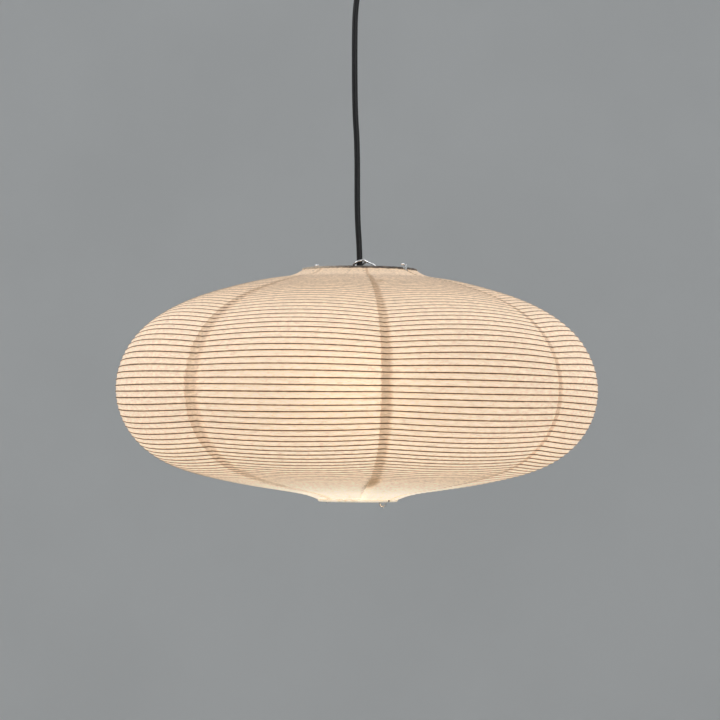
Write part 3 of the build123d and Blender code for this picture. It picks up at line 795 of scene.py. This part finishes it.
def hem_piece(name, node, body, material, ring_r, ring_z, outward, shade_table, gap_half):
    """Pleated paper folded round a ring, open where the stretcher's wires take hold."""
    halves = [hem_half(side, ring_r, ring_z, outward, shade_table, gap_half) for side in (0, 1)]
    points, sheet, hem_shade = (np.concatenate(parts) for parts in zip(*halves))
    faces = grid_faces(HEM_STEPS, HEM_COLUMNS // 2)
    later = HEM_STEPS * HEM_COLUMNS // 2
    faces += [tuple(later + i for i in face) for face in faces]
    values = {"sheet": sheet.reshape(-1, 3), "hem_shade": hem_shade.ravel()}
    piece = piece_from(name, points.reshape(-1, 3), faces, material, values)
    thicken(piece, PAPER)
    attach(piece, body)
    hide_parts(node)


def thicken(piece, thickness):
    """Give an open sheet its real thickness, as mesh."""
    modifier = piece.modifiers.new("thickness", "SOLIDIFY")
    modifier.thickness = thickness
    modifier.offset = 1
    depsgraph = bpy.context.evaluated_depsgraph_get()
    solid = bpy.data.meshes.new_from_object(piece.evaluated_get(depsgraph))
    piece.modifiers.clear()
    piece.data = solid


def make_hems():
    shaded = hem_paper("hem_paper_top", rgb(0.12, 0.10, 0.085), rgb(0.58, 0.50, 0.41), 0.12)
    lit = hem_paper("hem_paper_bottom", rgb(0.52, 0.44, 0.32), rgb(0.80, 0.74, 0.62), 0.52)
    top = (TOP_R, TOP_Z, 1, TOP_HEM_SHADE, HOOK_GAP_HALF)
    hem_piece("top_hem_paper", "top_hem", "lantern", shaded, *top)
    bottom = (BOTTOM_R, BOTTOM_Z, -1, BOTTOM_HEM_SHADE, FOOT_GAP_HALF)
    hem_piece("bottom_hem_paper", "bottom_hem", "bottom_ring", lit, *bottom)


# ---- cord ---------------------------------------------------------------------------------------
CORD_ROUTE_MM = [  # from the canopy's grip down to the lampholder's gland
    (0, 0, -41.0),
    (0, 0, -55.0),
    (-4.4, -4.2, -86.0),
    (-4.9, -5.3, -120.0),
    (-4.3, -4.5, -198.0),
    (-2.4, -2.2, -236.0),
    (-1.9, -2.3, -308.0),
    (0, 0, -345.0),
    (0, 0, -360.8),
]
CORD_DIAMETER = 6 * MM


def make_cord():
    """The pendant flex, from the lampholder's gland up into the canopy's grip."""
    data = bpy.data.curves.new("pendant_cord", "CURVE")
    data.dimensions = "3D"
    data.bevel_depth = CORD_DIAMETER / 2
    data.bevel_resolution = 8
    data.resolution_u = 16
    data.use_fill_caps = True
    line = data.splines.new("NURBS")
    line.points.add(len(CORD_ROUTE_MM) - 1)
    for point, place in zip(line.points, reversed(CORD_ROUTE_MM)):
        point.co = (*(c * MM for c in place), 1)
    line.order_u = 3
    line.use_endpoint_u = True
    data.materials.append(cord_sheath())
    piece = bpy.data.objects.new("pendant_cord", data)
    bpy.context.scene.collection.objects.link(piece)
    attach(piece, "cord")
    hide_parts("cord")


# ---- finishes of the carried-over CAD nodes -----------------------------------------------------
def finish_nodes():
    black = moulded("black_moulding", rgb(0.011, 0.011, 0.012), rgb(0.02, 0.02, 0.021), 0.42)
    coat_colours = rgb(0.013, 0.013, 0.014), rgb(0.022, 0.022, 0.023)
    coat = moulded("black_coat", *coat_colours, 0.5, 1600.0, 0.05 * MM)
    white = moulded("white_moulding", rgb(0.74, 0.73, 0.70), rgb(0.82, 0.81, 0.78), 0.4)
    ceramic = moulded("insulator", rgb(0.66, 0.63, 0.56), rgb(0.76, 0.73, 0.66), 0.35)
    board = moulded("circuit_board", rgb(0.03, 0.13, 0.06), rgb(0.05, 0.18, 0.08), 0.45)
    brown = moulded("brown_insulation", rgb(0.12, 0.045, 0.02), rgb(0.17, 0.065, 0.03), 0.45)
    blue = moulded("blue_insulation", rgb(0.02, 0.07, 0.30), rgb(0.03, 0.10, 0.38), 0.45)
    glass = moulded("black_glass", rgb(0.01, 0.01, 0.014), rgb(0.02, 0.02, 0.026), 0.12)
    zinc = drawn_metal("zinc_plate", rgb(0.42, 0.43, 0.44), rgb(0.66, 0.67, 0.68), 0.30)
    brass = drawn_metal("brass", rgb(0.45, 0.31, 0.11), rgb(0.74, 0.56, 0.25), 0.25)
    nickel = drawn_metal("nickel", rgb(0.45, 0.44, 0.42), rgb(0.72, 0.71, 0.68), 0.22)
    wire = drawn_metal("spring_wire", rgb(0.60, 0.60, 0.60), rgb(0.88, 0.88, 0.88), 0.16)
    ring = drawn_metal("ring_wire", rgb(0.32, 0.31, 0.30), rgb(0.52, 0.51, 0.50), 0.35)
    finishes = {
        "zinc_steel": zinc,
        "black_canopy": coat,
        "black_plastic": black,
        "white_plastic": white,
        "cord_black": cord_sheath(),
        "wire_brown": brown,
        "wire_blue": blue,
        "ceramic": ceramic,
        "brass": brass,
        "nickel": nickel,
        "black_glass": glass,
        "opal": opal_globe(),
        "driver_green": board,
        "ring_wire": ring,
        "stretcher_wire": wire,
    }
    for entry in frame["record"]["subparts"]:
        slot, node = entry["material_slot"], NODES[entry["node"]]
        if slot in finishes:
            node.data.materials.clear()
            node.data.materials.append(finishes[slot])


# ---- studio -------------------------------------------------------------------------------------
FLOOR_Z = -4.4  # a tall studio, so that no view from below is under its floor
BOWL_R = 7.0
BOWL_COVE = 1.6  # the radius of the bend between floor and backdrop
BOWL_TOP = FADE_HIGH + 0.2 - FLOOR_Z  # the backdrop's height above the floor
BOWL_SIDES = 96
SKY = (0.9, 0.95, 1.0, 1)
SKY_STRENGTH = 0.46


def make_floor():
    """A round pale floor that sweeps up into a backdrop, far outside every camera."""
    cove = [
        (BOWL_R - BOWL_COVE + BOWL_COVE * math.sin(a), BOWL_COVE * (1 - math.cos(a)))
        for a in np.linspace(0, math.pi / 2, 14)
    ]
    profile = [(0.02, 0), (1.5, 0), (3.5, 0), *cove, (BOWL_R, BOWL_TOP)]
    angles = np.linspace(0, 2 * math.pi, BOWL_SIDES + 1)[:-1]
    vertices = [(r * math.cos(a), r * math.sin(a), FLOOR_Z + h) for r, h in profile for a in angles]
    faces = grid_faces(len(profile), BOWL_SIDES, wrap=True)
    faces.append(tuple(range(BOWL_SIDES))[::-1])
    floor = piece_from("floor", vertices, faces, studio_floor())


def area_light(name, place, size, watts):
    """A round soft light aimed at the middle of the shade."""
    aim = Vector((0, 0, EQUATOR_Z))
    data = bpy.data.lights.new(name, "AREA")
    data.shape = "DISK"
    data.size = size
    data.energy = watts
    light = bpy.data.objects.new(name, data)
    light.location = place
    light.rotation_mode = "QUATERNION"
    light.rotation_quaternion = (Vector(place) - aim).to_track_quat("Z", "Y")
    bpy.context.scene.collection.objects.link(light)


def make_lights():
    area_light("key", (-1.8, -2.6, 1.6), 1.8, 30)
    area_light("fill", (3.0, -1.2, 0.6), 2.2, 16)
    area_light("back", (0.8, 3.0, 1.4), 1.8, 20)
    world = bpy.data.worlds.new("studio")
    bpy.context.scene.world = world
    world.use_nodes = True
    sky = world.node_tree.nodes["Background"]
    sky.inputs["Color"].default_value = SKY
    sky.inputs["Strength"].default_value = SKY_STRENGTH
    bpy.context.scene.view_settings.view_transform = "Standard"


make_camera()
make_cord()
make_rib()
make_gores()
make_hems()
finish_nodes()
make_floor()
make_lights()
